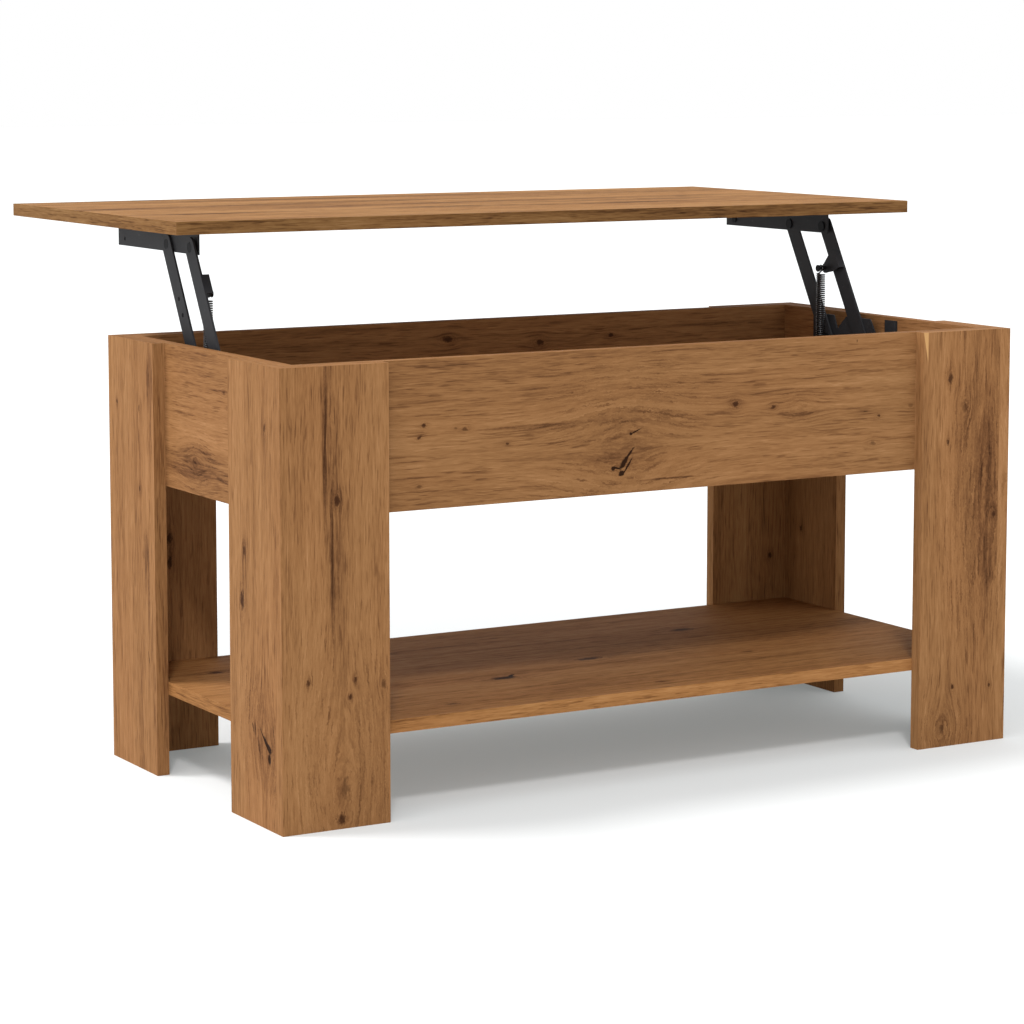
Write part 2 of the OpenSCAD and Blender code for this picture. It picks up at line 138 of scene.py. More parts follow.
class Graph:
    """Adds nodes to a tree. Its methods take sockets or plain numbers and return sockets."""

    def __init__(self, tree):
        self.tree = tree

    def node(self, kind, **settings):
        made = self.tree.nodes.new("ShaderNode" + kind)
        for name, value in settings.items():
            setattr(made, name, value)
        return made

    def feed(self, socket, value):
        if isinstance(value, bpy.types.NodeSocket):
            self.tree.links.new(value, socket)
        else:
            socket.default_value = value

    def math(self, operation, a, b=0.0, c=0.0):
        made = self.node("Math", operation=operation)
        for socket, value in zip(made.inputs, (a, b, c)):
            self.feed(socket, value)
        return made.outputs[0]

    def add(self, a, b):
        return self.math("ADD", a, b)

    def sub(self, a, b):
        return self.math("SUBTRACT", a, b)

    def mul(self, a, b):
        return self.math("MULTIPLY", a, b)

    def point(self, x, y, z):
        made = self.node("CombineXYZ")
        for socket, value in zip(made.inputs, (x, y, z)):
            self.feed(socket, value)
        return made.outputs[0]

    def noise(self, place, scale=1.0, detail=2.0, roughness=0.5):
        made = self.node("TexNoise")
        self.feed(made.inputs["Vector"], place)
        made.inputs["Scale"].default_value = scale
        made.inputs["Detail"].default_value = detail
        made.inputs["Roughness"].default_value = roughness
        return made.outputs["Fac"]

    def swing(self, noise, reach):
        """Noise as a signed amount, up to about half of reach each way."""
        return self.mul(self.sub(noise, 0.5), reach)

    def step(self, value, start, end, low=0.0, high=1.0):
        """Turns smoothly from low to high as value goes from start to end."""
        made = self.node("MapRange", interpolation_type="SMOOTHSTEP")
        for name, given in (("Value", value), ("From Min", start), ("From Max", end),
                            ("To Min", low), ("To Max", high)):
            self.feed(made.inputs[name], given)
        return made.outputs["Result"]

    def mix(self, share, a, b, blend="MIX"):
        made = self.node("Mix", data_type="RGBA", blend_type=blend)
        self.feed(made.inputs[0], share)
        self.feed(made.inputs[6], a)
        self.feed(made.inputs[7], b)
        return made.outputs[2]

    def ramp(self, value, stops):
        made = self.node("ValToRGB")
        band = made.color_ramp
        while len(band.elements) < len(stops):
            band.elements.new(0.5)
        for element, (place, colour) in zip(band.elements, stops):
            element.position = place
            element.color = (*colour, 1)
        self.feed(made.inputs["Fac"], value)
        return made.outputs["Color"]

    def use(self, group, **inputs):
        made = self.node("Group")
        made.node_tree = group
        for name, value in inputs.items():
            self.feed(made.inputs[name], value)
        return made.outputs


def new_group(name, inputs, outputs):
    """An empty node group of plain numbers: its Graph, its input sockets, its output node."""
    tree = bpy.data.node_groups.new(name, "ShaderNodeTree")
    for way, names in (("INPUT", inputs), ("OUTPUT", outputs)):
        for socket in names:
            tree.interface.new_socket(name=socket, in_out=way, socket_type="NodeSocketFloat")
    given = tree.nodes.new("NodeGroupInput")
    result = tree.nodes.new("NodeGroupOutput")
    return Graph(tree), [given.outputs[n] for n in inputs], result


def new_material(name):
    material = bpy.data.materials.new(name)
    material.use_nodes = True
    return material, Graph(material.node_tree), material.node_tree.nodes["Principled BSDF"]


# ---- oak ----

OAK_TONES = [(0.0, (0.048, 0.019, 0.007)), (0.30, (0.134, 0.058, 0.022)),
             (0.52, (0.232, 0.109, 0.041)), (0.72, (0.292, 0.145, 0.058)),
             (1.0, (0.390, 0.209, 0.097))]
KNOT_BROWN = (0.040, 0.014, 0.005, 1)
CRACK_BROWN = (0.020, 0.007, 0.002, 1)
SAPWOOD = (0.47, 0.26, 0.105, 1)
MIDDLE_TONE = 0.56       # a bolder figure turns lighter and darker from here

# A mark in a board's figure. u is its place along the grain and v across it, in metres in
# the row frame; half_length and half_width its size; turn its angle from the grain in
# degrees; depth how strongly it shows. A wedge of sapwood narrows from its full width at u to
# nothing at the end of its length, along its straight edge at v. Past a seam's v the figure is
# another one, lighter by its depth.
Mark = namedtuple("Mark", "kind u v half_length half_width turn depth")


def make_grain_group():
    """Plain oak figure at U along the grain and V across it, in metres."""
    g, (u, v, seed), result = new_group("oak_grain", ("U", "V", "Seed"), ("Tone", "Height"))

    def streaks(along, across, shift, detail, roughness=0.55):
        place = g.point(g.mul(u, along), g.mul(v_bent, across), g.add(seed, shift))
        return g.noise(place, detail=detail, roughness=roughness)

    v_bent = v
    wander = g.swing(streaks(1.6, 6.5, 0.0, 2), 0.012)
    ripple = g.swing(streaks(11.0, 40.0, 3.1, 2), 0.0016)
    v_bent = g.add(v, g.add(wander, ripple))
    bands = streaks(1.3, 24.0, 7.7, 3, 0.6)
    lines = streaks(4.5, 120.0, 11.3, 5, 0.68)
    fibres = streaks(30.0, 480.0, 17.9, 3, 0.65)
    fine = streaks(75.0, 1150.0, 23.1, 2)
    arches = g.add(g.mul(v_bent, 62.0), g.swing(streaks(1.6, 7.0, 31.0, 1), 9.0))
    ring = g.math("POWER", g.math("FRACT", arches), 5.0)
    dashes = g.step(streaks(26.0, 460.0, 37.0, 1), 0.60, 0.66)
    flecks = g.step(streaks(34.0, 480.0, 43.0, 1), 0.62, 0.70)
    patches = g.noise(g.point(g.mul(u, 4.0), g.mul(v, 12.0), g.add(seed, 41.0)), detail=3)
    tone = g.add(0.57, g.swing(bands, 0.45))
    tone = g.add(tone, g.swing(lines, 0.56))
    tone = g.add(tone, g.swing(fibres, 0.56))
    tone = g.add(tone, g.swing(fine, 0.30))
    tone = g.add(tone, g.swing(patches, 0.16))
    tone = g.sub(tone, g.mul(ring, 0.07))
    tone = g.sub(tone, g.mul(dashes, 0.16))
    tone = g.add(tone, g.mul(flecks, 0.10))
    height = g.add(g.swing(fibres, 0.7), g.swing(fine, 0.5))
    height = g.sub(height, g.mul(dashes, 0.9))
    g.feed(result.inputs["Tone"], tone)
    g.feed(result.inputs["Height"], height)
    return g.tree


def make_mark_group():
    """How far a point is from a mark, in half sizes, with a ragged outline."""
    names = ("U", "V", "At U", "At V", "Half length", "Half width", "Cosine", "Sine", "Rough")
    g, (u, v, at_u, at_v, length, width, cosine, sine, rough), result = new_group(
        "oak_mark", names, ("Distance",))
    du, dv = g.sub(u, at_u), g.sub(v, at_v)
    along = g.math("DIVIDE", g.add(g.mul(du, cosine), g.mul(dv, sine)), length)
    across = g.math("DIVIDE", g.sub(g.mul(dv, cosine), g.mul(du, sine)), width)
    distance = g.math("SQRT", g.add(g.mul(along, along), g.mul(across, across)))
    ragged = g.noise(g.point(g.mul(u, 170.0), g.mul(v, 330.0), 5.0), detail=4, roughness=0.7)
    g.feed(result.inputs["Distance"], g.add(distance, g.mul(g.sub(ragged, 0.5), rough)))
    return g.tree


GRAIN = make_grain_group()
MARK = make_mark_group()
SEAM_BLUR = 0.2 * MM


def mark_distance(g, u, v, mark, stretch=1.0, rough=1.3):
    turn = math.radians(mark.turn)
    return g.use(MARK, **{
        "U": u, "V": v, "At U": mark.u, "At V": mark.v,
        "Half length": mark.half_length * stretch, "Half width": mark.half_width * stretch,
        "Cosine": math.cos(turn), "Sine": math.sin(turn), "Rough": rough})["Distance"]


def bell(g, distance):
    """1 at a mark's middle, falling to nothing about two half sizes away."""
    return g.math("EXPONENT", g.mul(g.mul(distance, distance), -1.0))


def wedge_mask(g, u, v, mark):
    """1 inside a wedge, 0 outside it."""
    share = g.math("DIVIDE", g.sub(mark.u, u), mark.half_length)
    slant = g.sub(mark.v, g.mul(g.sub(1.0, share), mark.half_width))
    inside = g.step(g.sub(v, slant), -0.0006, 0.0006, 0.0, mark.depth)
    return g.mul(inside, g.step(g.sub(mark.v, v), -0.0004, 0.0004))


def oak_material(name, seed, marks, contrast, painted_edge_shade, tint_and_painted_light):
    """Oak with its own figure and its own knots, cracks, streaks, seam and sapwood; where asked,
    painted shade darkens its narrow edges.
    """
    # this colour multiplier sets a board's tone, and on the shelf it stands in for light: painted
    # light
    tones = [(place, [a * b for a, b in zip(tone, tint_and_painted_light)]) for place, tone in OAK_TONES]
    material, g, shader = new_material(name)
    uv = g.node("UVMap", uv_map="grain").outputs["UV"]
    parts = g.node("SeparateXYZ")
    g.feed(parts.inputs[0], uv)
    u, v = parts.outputs["X"], parts.outputs["Y"]
    v_bent, shade, knots, cracks, sapwood = v, 0.0, 0.0, 0.0, 0.0
    past_seam = None
    dark_lines = g.noise(g.point(g.mul(u, 8.0), g.mul(v, 230.0), seed + 61.0), detail=4)
    dark_lines = g.step(dark_lines, 0.40, 0.62, 0.25, 1.50)
    for mark in marks:
        if mark.kind == "wedge":
            sapwood = wedge_mask(g, u, v, mark)
            continue
        if mark.kind == "seam":
            past_seam = g.step(v, mark.v - SEAM_BLUR, mark.v + SEAM_BLUR)
            past_shade = g.mul(past_seam, -mark.depth)
            continue
        if mark.kind in ("knot", "swirl"):
            distance = mark_distance(g, u, v, mark, rough=2.6)
            near = bell(g, mark_distance(g, u, v, mark, stretch=2.4, rough=0.5))
            v_bent = g.sub(v_bent, g.mul(g.mul(g.sub(v, mark.v), 0.80), near))
            rings = g.math("SINE", g.mul(distance, 9.0))
            shade = g.add(shade, g.mul(near, 0.16 * mark.depth))
            shade = g.add(shade, g.mul(g.mul(near, rings), 0.07 * mark.depth))
        else:
            distance = mark_distance(g, u, v, mark)
        if mark.kind == "knot":
            knots = g.add(knots, g.step(distance, 1.15, 0.45, 0.0, mark.depth))
        if mark.kind == "crack":
            cracks = g.add(cracks, g.step(distance, 1.1, 0.6, 0.0, mark.depth))
        if mark.kind == "streak":
            shade = g.add(shade, g.mul(g.mul(bell(g, distance), dark_lines), mark.depth))
    if past_seam is not None:
        before_seam = g.sub(1.0, past_seam)
        knots = g.mul(knots, before_seam)
        shade = g.add(g.mul(shade, before_seam), past_shade)
        v_bent = g.add(v_bent, g.mul(past_seam, ASIDE))
    grain = g.use(GRAIN, U=u, V=v_bent, Seed=seed)
    figure = g.mul(g.sub(grain["Tone"], MIDDLE_TONE), contrast)
    tone = g.sub(g.add(MIDDLE_TONE, figure), shade)
    colour = g.ramp(tone, tones)
    warmth = g.noise(g.point(g.mul(u, 2.2), g.mul(v, 14.0), seed + 53.0), detail=2)
    colour = g.mix(g.step(warmth, 0.35, 0.7, 0.0, 0.35), colour, (1.0, 0.90, 0.86, 1), "MULTIPLY")
    # painted shade: the board's narrow edges are multiplied darker, standing in for the shade they
    # lie in under the light from above
    if painted_edge_shade < 1.0:
        band = g.node("Attribute", attribute_name="band").outputs["Fac"]
        colour = g.mix(band, colour, (painted_edge_shade, painted_edge_shade, painted_edge_shade, 1), "MULTIPLY")
    if marks:
        colour = g.mix(g.math("MINIMUM", knots, 0.92), colour, KNOT_BROWN)
        colour = g.mix(g.math("MINIMUM", cracks, 1.0), colour, CRACK_BROWN)
        colour = g.mix(sapwood, colour, SAPWOOD)
    g.feed(shader.inputs["Base Color"], colour)
    g.feed(shader.inputs["Roughness"], g.step(grain["Tone"], 0.2, 0.9, 0.76, 0.62))
    shader.inputs["Specular IOR Level"].default_value = 0.06
    relief = g.node("Bump")
    relief.inputs["Strength"].default_value = 0.55
    relief.inputs["Distance"].default_value = 0.00016
    g.feed(relief.inputs["Height"], g.sub(grain["Height"], g.mul(cracks, 4.0)))
    g.feed(shader.inputs["Normal"], relief.outputs["Normal"])
    return material


# ---- metal and dowel materials ----

def object_place(g):
    return g.node("TexCoord").outputs["Object"]


def black_steel_material(name, base, roughness):
    """Satin black powder coat with a fine orange peel and handling marks."""
    material, g, shader = new_material(name)
    place = object_place(g)
    clouds = g.noise(place, scale=26.0, detail=4, roughness=0.6)
    peel = g.noise(place, scale=2600.0, detail=2)
    scuffs = g.step(g.noise(place, scale=140.0, detail=5, roughness=0.7), 0.60, 0.72)
    light = tuple(3.2 * c for c in base)
    colour = g.mix(g.step(clouds, 0.3, 0.75, 0.0, 0.14), (*base, 1), (*light, 1))
    colour = g.mix(g.mul(scuffs, 0.10), colour, (0.22, 0.22, 0.22, 1))
    g.feed(shader.inputs["Base Color"], colour)
    g.feed(shader.inputs["Roughness"], g.add(roughness, g.swing(clouds, 0.22)))
    shader.inputs["Specular IOR Level"].default_value = 0.10
    relief = g.node("Bump")
    relief.inputs["Strength"].default_value = 0.35
    relief.inputs["Distance"].default_value = 0.00008
    g.feed(relief.inputs["Height"], g.add(peel, g.mul(scuffs, -0.6)))
    g.feed(shader.inputs["Normal"], relief.outputs["Normal"])
    return material


def zinc_material(name, base, roughness):
    """Zinc plate: cloudy, with fine turning marks."""
    material, g, shader = new_material(name)
    place = object_place(g)
    clouds = g.noise(place, scale=180.0, detail=4, roughness=0.65)
    grit = g.noise(place, scale=4200.0, detail=2)
    dull = tuple(0.62 * c for c in base)
    colour = g.mix(g.step(clouds, 0.35, 0.7), (*base, 1), (*dull, 1))
    g.feed(shader.inputs["Base Color"], colour)
    shader.inputs["Metallic"].default_value = 1.0
    g.feed(shader.inputs["Roughness"], g.add(roughness, g.swing(clouds, 0.3)))
    relief = g.node("Bump")
    relief.inputs["Strength"].default_value = 0.3
    relief.inputs["Distance"].default_value = 0.00004
    g.feed(relief.inputs["Height"], grit)
    g.feed(shader.inputs["Normal"], relief.outputs["Normal"])
    return material


def beech_material():
    """Pale beech with short dark flecks, for the dowels."""
    material, g, shader = new_material("beech")
    place = object_place(g)
    stretched = g.node("Mapping")
    g.feed(stretched.inputs["Vector"], place)
    stretched.inputs["Scale"].default_value = (60.0, 60.0, 900.0)
    figure = g.noise(stretched.outputs["Vector"], detail=4, roughness=0.6)
    colour = g.ramp(figure, [(0.25, (0.42, 0.26, 0.14)), (0.5, (0.60, 0.42, 0.25)),
                             (0.8, (0.70, 0.53, 0.34))])
    g.feed(shader.inputs["Base Color"], colour)
    shader.inputs["Roughness"].default_value = 0.6
    return material


# ---- mesh building ----

SHARP_DEGREES = 38       # a bigger turn between two faces is shaded as an edge
SQUARE_DEGREES = 60      # and a turn bigger than this is about a right angle


def finish_piece(name, bm, body, materials, replaced=(), flat_faces=False):
    """Turns a bmesh into a piece that rides on a body, smooth except at its sharp edges."""
    mesh = bpy.data.meshes.new(name)
    bmesh.ops.recalc_face_normals(bm, faces=bm.faces)
    bm.to_mesh(mesh)
    bm.free()
    for material in materials:
        mesh.materials.append(material)
    mesh.shade_smooth()
    mesh.set_sharp_from_angle(angle=math.radians(SHARP_DEGREES))
    piece = bpy.data.objects.new(name, mesh)
    bpy.context.scene.collection.objects.link(piece)
    if flat_faces:
        weighted = piece.modifiers.new("flat_faces", "WEIGHTED_NORMAL")
        weighted.keep_sharp = True
    if replaced:
        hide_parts(*replaced)
    if body:
        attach(piece, body)
    return piece


def body_of_node(node):
    return next(body for body, nodes in frame["record"]["behaviour"]["bodies"].items()
                if node in nodes)


def node_bmesh(node):
    """A CAD node's shape with its triangles joined into whole faces."""
    bm = bmesh.new()
    bm.from_mesh(frame["nodes"][node].data)
    bmesh.ops.remove_doubles(bm, verts=bm.verts, dist=1e-6)
    bmesh.ops.dissolve_limit(bm, angle_limit=math.radians(0.5), verts=bm.verts, edges=bm.edges)
    return bm


def sharp_edges(bm, least_degrees=35):
    return [e for e in bm.edges
            if e.is_manifold and e.calc_face_angle(0) > math.radians(least_degrees)]


def round_edges(bm, edges, radius, segments=2):
    bmesh.ops.bevel(bm, geom=edges, offset=radius, offset_type="OFFSET", segments=segments,
                    profile=0.5, affect="EDGES", clamp_overlap=True)


FOLD_LENGTH = 40 * MM    # a shorter edge isn't a fold
FOLD_FLANGE = 3 * MM     # nor is one beside a narrower face


def softened(node, materials, radius, fold_radius=0.0):
    """The CAD node's own shape with its edges eased, and its long folds rounded."""
    bm = node_bmesh(node)
    if fold_radius:
        folds = [e for e in sharp_edges(bm, SQUARE_DEGREES) if e.calc_length() > FOLD_LENGTH
                 and min(f.calc_area() / e.calc_length() for f in e.link_faces) > FOLD_FLANGE]
        round_edges(bm, folds, fold_radius, segments=4)
    round_edges(bm, sharp_edges(bm), radius)
    return finish_piece(node + "_piece", bm, body_of_node(node), materials, [node],
                        flat_faces=True)


# ---- boards ----

EDGE_ROUNDING = 0.7 * MM
AXES = {"X": 0, "Y": 1, "Z": 2}
ASIDE = 5.0      # moves an edge's figure away from the faces' knots
NEAR = 1e-6      # closer than this is the same place


def lay_grain(bm, node, grain):
    """Writes each face's place along and across the grain, and marks the narrow edges."""
    low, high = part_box(node)
    size = high - low
    thin = min(range(3), key=lambda axis: size[axis])
    uv = bm.loops.layers.uv.new("grain")
    band = bm.loops.layers.float.new("band")
    for face in bm.faces:
        normal = max(range(3), key=lambda axis: abs(face.normal[axis]))
        others = [axis for axis in range(3) if axis != normal]
        if normal == thin:
            along = AXES[grain]
            shift = 0.0
        else:
            along = max(others, key=lambda axis: size[axis])
            shift = ASIDE + normal + (0.4 if face.normal[normal] > 0 else 0.0)
        across = next(axis for axis in others if axis != along)
        for loop in face.loops:
            place = loop.vert.co
            loop[uv].uv = (place[along] + shift, place[across] + shift)
            loop[band] = 0.0 if normal == thin else 1.0


def outline_edges(bm, low, high):
    """The sharp edges that lie on two faces of the box: a board's own, not its holes'."""
    found = []
    for edge in sharp_edges(bm, SQUARE_DEGREES):
        ends = [vert.co for vert in edge.verts]
        level = [axis for axis in range(3) if abs(ends[0][axis] - ends[1][axis]) < NEAR]
        if all(min(abs(ends[0][axis] - low[axis]), abs(ends[0][axis] - high[axis])) < NEAR
               for axis in level):
            found.append(edge)
    return found


def add_board(node, grain, seed, marks, contrast=1.0, painted_edge_shade=1.0, tint_and_painted_light=(1, 1, 1)):
    """Puts a board with eased edges and its own figure in a CAD board's place."""
    bm = node_bmesh(node)
    low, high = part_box(node)
    round_edges(bm, outline_edges(bm, low, high), EDGE_ROUNDING, segments=3)
    bm.normal_update()
    lay_grain(bm, node, grain)
    material = oak_material("oak_" + node, seed, marks, contrast, painted_edge_shade, tint_and_painted_light)
    return finish_piece(node + "_board", bm, body_of_node(node), [material], [node],
                        flat_faces=True)


def knot(u, v, size, depth=1.0, length=1.6, turn=0):
    return Mark("knot", u, v, size * length, size, turn, depth)


def swirl(u, v, half_length, half_width, depth=1.0, turn=0):
    return Mark("swirl", u, v, half_length, half_width, turn, depth)


def crack(u, v, half_length, half_width, turn=0, depth=1.0):
    return Mark("crack", u, v, half_length, half_width, turn, depth)


def streak(u, v, half_length, half_width, depth, turn=0):
    return Mark("streak", u, v, half_length, half_width, turn, depth)


# each board: the way its grain runs, and the marks in it
BOARDS = {
    "leg_front_left_face": ("Z", [
        streak(0.435, -0.440, 0.085, 0.005, 0.34, 1),
        streak(0.285, -0.432, 0.085, 0.005, 0.30, -1),
        streak(0.400, -0.420, 0.160, 0.009, 0.10),
        knot(0.363, -0.427, 0.0035), knot(0.166, -0.463, 0.0022, 0.8),
        knot(0.165, -0.406, 0.0018, 0.8), knot(0.146, -0.412, 0.0020, 0.9),
        knot(0.156, -0.371, 0.0035, 0.6), swirl(0.070, -0.420, 0.045, 0.016, 0.55),
        knot(0.045, -0.419, 0.0055, 0.55, 2.2), knot(0.011, -0.423, 0.0045, 0.9)]),
    "leg_front_left_side": ("Z", [
        knot(0.302, -0.273, 0.0035, 0.7), knot(0.246, -0.267, 0.0050, 1.0, 2.4),
        streak(0.200, -0.268, 0.060, 0.004, 0.14), streak(0.290, -0.272, 0.050, 0.006, 0.12),
        knot(0.442, -0.327, 0.0032, 0.6), streak(0.400, -0.329, 0.060, 0.004, 0.12),
        swirl(0.096, -0.322, 0.024, 0.016, 0.9, 20), crack(0.100, -0.319, 0.0150, 0.0013, 42),
        crack(0.0945, -0.3265, 0.0120, 0.0032, 42), crack(0.0905, -0.3325, 0.0085, 0.0042, 55),
        crack(0.079, -0.333, 0.0064, 0.0040, 10), crack(0.108, -0.292, 0.0060, 0.0010, 20),
        streak(0.096, -0.303, 0.022, 0.004, 0.22, 25)]),
    "leg_front_right_face": ("Z", [
        knot(0.453, 0.405, 0.0042, 0.85), knot(0.418, 0.427, 0.0050, 0.5),
        knot(0.375, 0.402, 0.0024, 0.9), swirl(0.305, 0.464, 0.060, 0.017, 1.1),
        streak(0.350, 0.466, 0.045, 0.012, 0.16), knot(0.282, 0.474, 0.0028, 1.0),
        streak(0.240, 0.462, 0.050, 0.014, 0.14), knot(0.073, 0.414, 0.0024, 0.9),
        knot(0.070, 0.471, 0.0020, 0.8), swirl(0.023, 0.401, 0.018, 0.012, 0.9),
        knot(0.022, 0.399, 0.0040, 0.6), Mark("seam", 0, 0.480, 0, 0, 0, 0.07),
        Mark("wedge", 0.510, 0.3702, 0.036, 0.0072, 0, 1.0)]),
    "leg_front_right_side": ("Z", [knot(0.330, -0.290, 0.0040), knot(0.120, -0.262, 0.0030)]),
    "leg_back_left_face": ("Z", [
        knot(0.262, -0.425, 0.0040), knot(0.232, -0.425, 0.0034, 1.0, 2.4),
        knot(0.090, -0.395, 0.0030)]),
    "leg_back_left_side": ("Z", [
        streak(0.445, -0.020, 0.060, 0.010, 0.26), streak(0.400, 0.008, 0.180, 0.003, 0.10),
        streak(0.250, -0.005, 0.035, 0.007, 0.30), streak(0.180, -0.010, 0.050, 0.003, 0.20, -3),
        knot(0.433, 0.077, 0.0020, 0.8), knot(0.336, 0.012, 0.0024, 0.8),
        knot(0.431, 0.012, 0.0026, 0.5), crack(0.137, -0.009, 0.010, 0.0008, 12)]),
    "leg_back_right_face": ("Z", [knot(0.300, 0.420, 0.0045), knot(0.170, 0.455, 0.0030)]),
    "leg_back_right_side": ("Z", [knot(0.410, 0.020, 0.0040), knot(0.210, 0.050, 0.0030)]),
    "panel_front": ("X", [
        swirl(-0.048, 0.396, 0.032, 0.022, 0.6), streak(-0.062, 0.382, 0.018, 0.013, 0.16),
        crack(-0.036, 0.4135, 0.0080, 0.0010, 22), crack(-0.0425, 0.411, 0.0022, 0.0018),
        crack(-0.046, 0.386, 0.0150, 0.0016, 50), crack(-0.052, 0.378, 0.0100, 0.0036, 52),
        crack(-0.0465, 0.3745, 0.0125, 0.0014, 56), crack(-0.055, 0.366, 0.0046, 0.0032, 30),
        crack(-0.061, 0.3725, 0.0056, 0.0014, -10), crack(-0.066, 0.3725, 0.0032, 0.0030),
        knot(0.1015, 0.4372, 0.0040, 1.0, 1.0), knot(0.155, 0.431, 0.0027, 0.9, 1.2),
        swirl(0.193, 0.4265, 0.012, 0.006, 0.7), streak(0.060, 0.4255, 0.034, 0.0028, 0.26, 8),
        streak(0.030, 0.431, 0.040, 0.003, 0.20), streak(-0.160, 0.4275, 0.075, 0.0028, 0.30),
        streak(0.014, 0.3565, 0.040, 0.0011, 0.34), streak(-0.180, 0.407, 0.050, 0.0010, 0.22),
        streak(-0.318, 0.379, 0.030, 0.0010, 0.24), streak(0.240, 0.366, 0.050, 0.0040, 0.16, 8),
        crack(0.289, 0.4178, 0.0034, 0.0006, 0, 0.7), knot(0.3087, 0.4117, 0.0018, 0.9),
        knot(0.2996, 0.3792, 0.0030, 0.55), knot(0.356, 0.4215, 0.0025, 0.4),
        crack(0.2753, 0.5033, 0.0008, 0.0022, 0, 0.6), knot(-0.312, 0.4367, 0.0026, 1.0, 1.1),
        knot(-0.317, 0.4236, 0.0017, 0.9, 2.0, 30), knot(-0.260, 0.4298, 0.0024, 0.6),
        knot(-0.2717, 0.431, 0.0016, 0.5), knot(-0.2056, 0.4097, 0.0014, 0.8),
        knot(-0.3176, 0.3695, 0.0022, 0.5)]),
    "panel_back": ("X", [
        knot(-0.049, 0.487, 0.0042), knot(0.085, 0.477, 0.0040), knot(0.192, 0.482, 0.0026),
        streak(0.300, 0.490, 0.120, 0.005, 0.14)]),
    "panel_left": ("Y", [
        swirl(-0.113, 0.378, 0.014, 0.010, 0.5), knot(-0.113, 0.3797, 0.0022, 0.9, 1.0),
        streak(-0.110, 0.370, 0.085, 0.011, 0.20), streak(-0.178, 0.377, 0.026, 0.0018, 0.34, 4),
        streak(-0.190, 0.366, 0.014, 0.0018, 0.26, 7), streak(-0.151, 0.391, 0.028, 0.006, 0.24, 14),
        streak(-0.174, 0.412, 0.028, 0.005, 0.18, 5), streak(-0.074, 0.4335, 0.030, 0.0014, 0.20),
        streak(-0.180, 0.467, 0.026, 0.0026, 0.22), knot(-0.192, 0.4672, 0.0022, 0.5),
        knot(-0.2035, 0.4507, 0.0018, 0.7)]),
    "panel_right": ("Y", [knot(-0.050, 0.430, 0.0045), knot(-0.210, 0.470, 0.0028)]),
    "box_bottom": ("X", [knot(-0.200, -0.160, 0.0060), knot(0.240, -0.080, 0.0050)]),
    "shelf": ("X", [
        knot(-0.127, -0.206, 0.0085, 1.0, 2.2), crack(-0.127, -0.206, 0.0150, 0.0040, 8),
        crack(-0.113, -0.198, 0.0100, 0.0030, 40),
        knot(0.021, -0.155, 0.0070, 1.0, 2.6), knot(0.226, -0.048, 0.0080, 0.8, 2.2),
        knot(-0.253, -0.307, 0.0040, 0.7, 2.4), knot(0.020, -0.318, 0.0035, 0.5, 2.2),
        knot(0.215, -0.214, 0.0035, 0.6, 2.2), knot(-0.409, -0.007, 0.0060, 0.9, 2.0),
        streak(0.150, -0.150, 0.200, 0.012, 0.10), streak(0.000, -0.290, 0.300, 0.010, 0.10)]),
    "tabletop": ("X", [
        knot(-0.432, 0.009, 0.0060, 0.8, 3.2), streak(-0.400, 0.013, 0.112, 0.012, 0.36),
        streak(-0.457, 0.158, 0.096, 0.014, 0.34), streak(-0.285, 0.176, 0.128, 0.014, 0.37),
        streak(-0.107, 0.032, 0.096, 0.012, 0.39), streak(0.010, 0.120, 0.320, 0.012, 0.34, 3),
        knot(0.181, 0.007, 0.0060, 0.8, 3.2), streak(0.150, 0.012, 0.128, 0.012, 0.34),
        streak(0.320, 0.260, 0.240, 0.016, 0.29), streak(-0.050, 0.300, 0.352, 0.016, 0.26),
        knot(0.330, 0.120, 0.0050, 0.8, 2.2), streak(-0.200, 0.085, 0.144, 0.009, 0.31, 3),
        streak(0.250, 0.070, 0.176, 0.010, 0.29), streak(-0.340, 0.360, 0.192, 0.016, 0.29),
        streak(0.120, 0.400, 0.224, 0.016, 0.29), streak(-0.120, 0.200, 0.144, 0.012, 0.26),
        streak(5.530, 6.6485, 0.045, 0.0032, 0.24)]),
}


# where a board's tone differs from the others': the tabletop's figure is bolder and its
# narrow edges are painted darker, painted shade for the light from above that misses them;
# the shelf is painted lighter and warmer, painted light for the warm light bounced into its
# shade under the box; and some boards are a little lighter, darker or redder
BOARD_TONES = {
    # the tabletop's darker narrow edges are painted shade
    "tabletop": {"contrast": 1.45, "painted_edge_shade": 0.62, "tint_and_painted_light": (1.13, 1.17, 1.06)},
    # the shelf's lighter, warmer colour is painted light, for the warm light bounced into its shade
    # under the box
    "shelf": {"contrast": 1.2, "tint_and_painted_light": (1.13, 1.09, 0.96)},
    "panel_front": {"tint_and_painted_light": (0.94, 0.94, 0.94)},
    "leg_back_left_face": {"tint_and_painted_light": (1.08, 1.08, 1.08)},
    "leg_back_right_side": {"tint_and_painted_light": (0.84, 0.80, 0.72)},
    "leg_back_right_face": {"tint_and_painted_light": (1.12, 1.14, 1.08)},
}


# each board's figure is cut from another place of the same noise
FIRST_SEED = 3.0
SEED_STEP = 11.7


# ---- screws and cams ----

def lathe(bm, profile, sides=32):
    """Turns (radius, height) points about Z. Returns the rings of vertices."""
    rings = []
    for radius, height in profile:
        rings.append([bm.verts.new((radius * math.cos(2 * math.pi * i / sides),
                                    radius * math.sin(2 * math.pi * i / sides), height))
                      for i in range(sides)])
    for lower, upper in zip(rings, rings[1:]):
        for i in range(sides):
            j = (i + 1) % sides
            bm.faces.new((lower[i], lower[j], upper[j], upper[i]))
    return rings


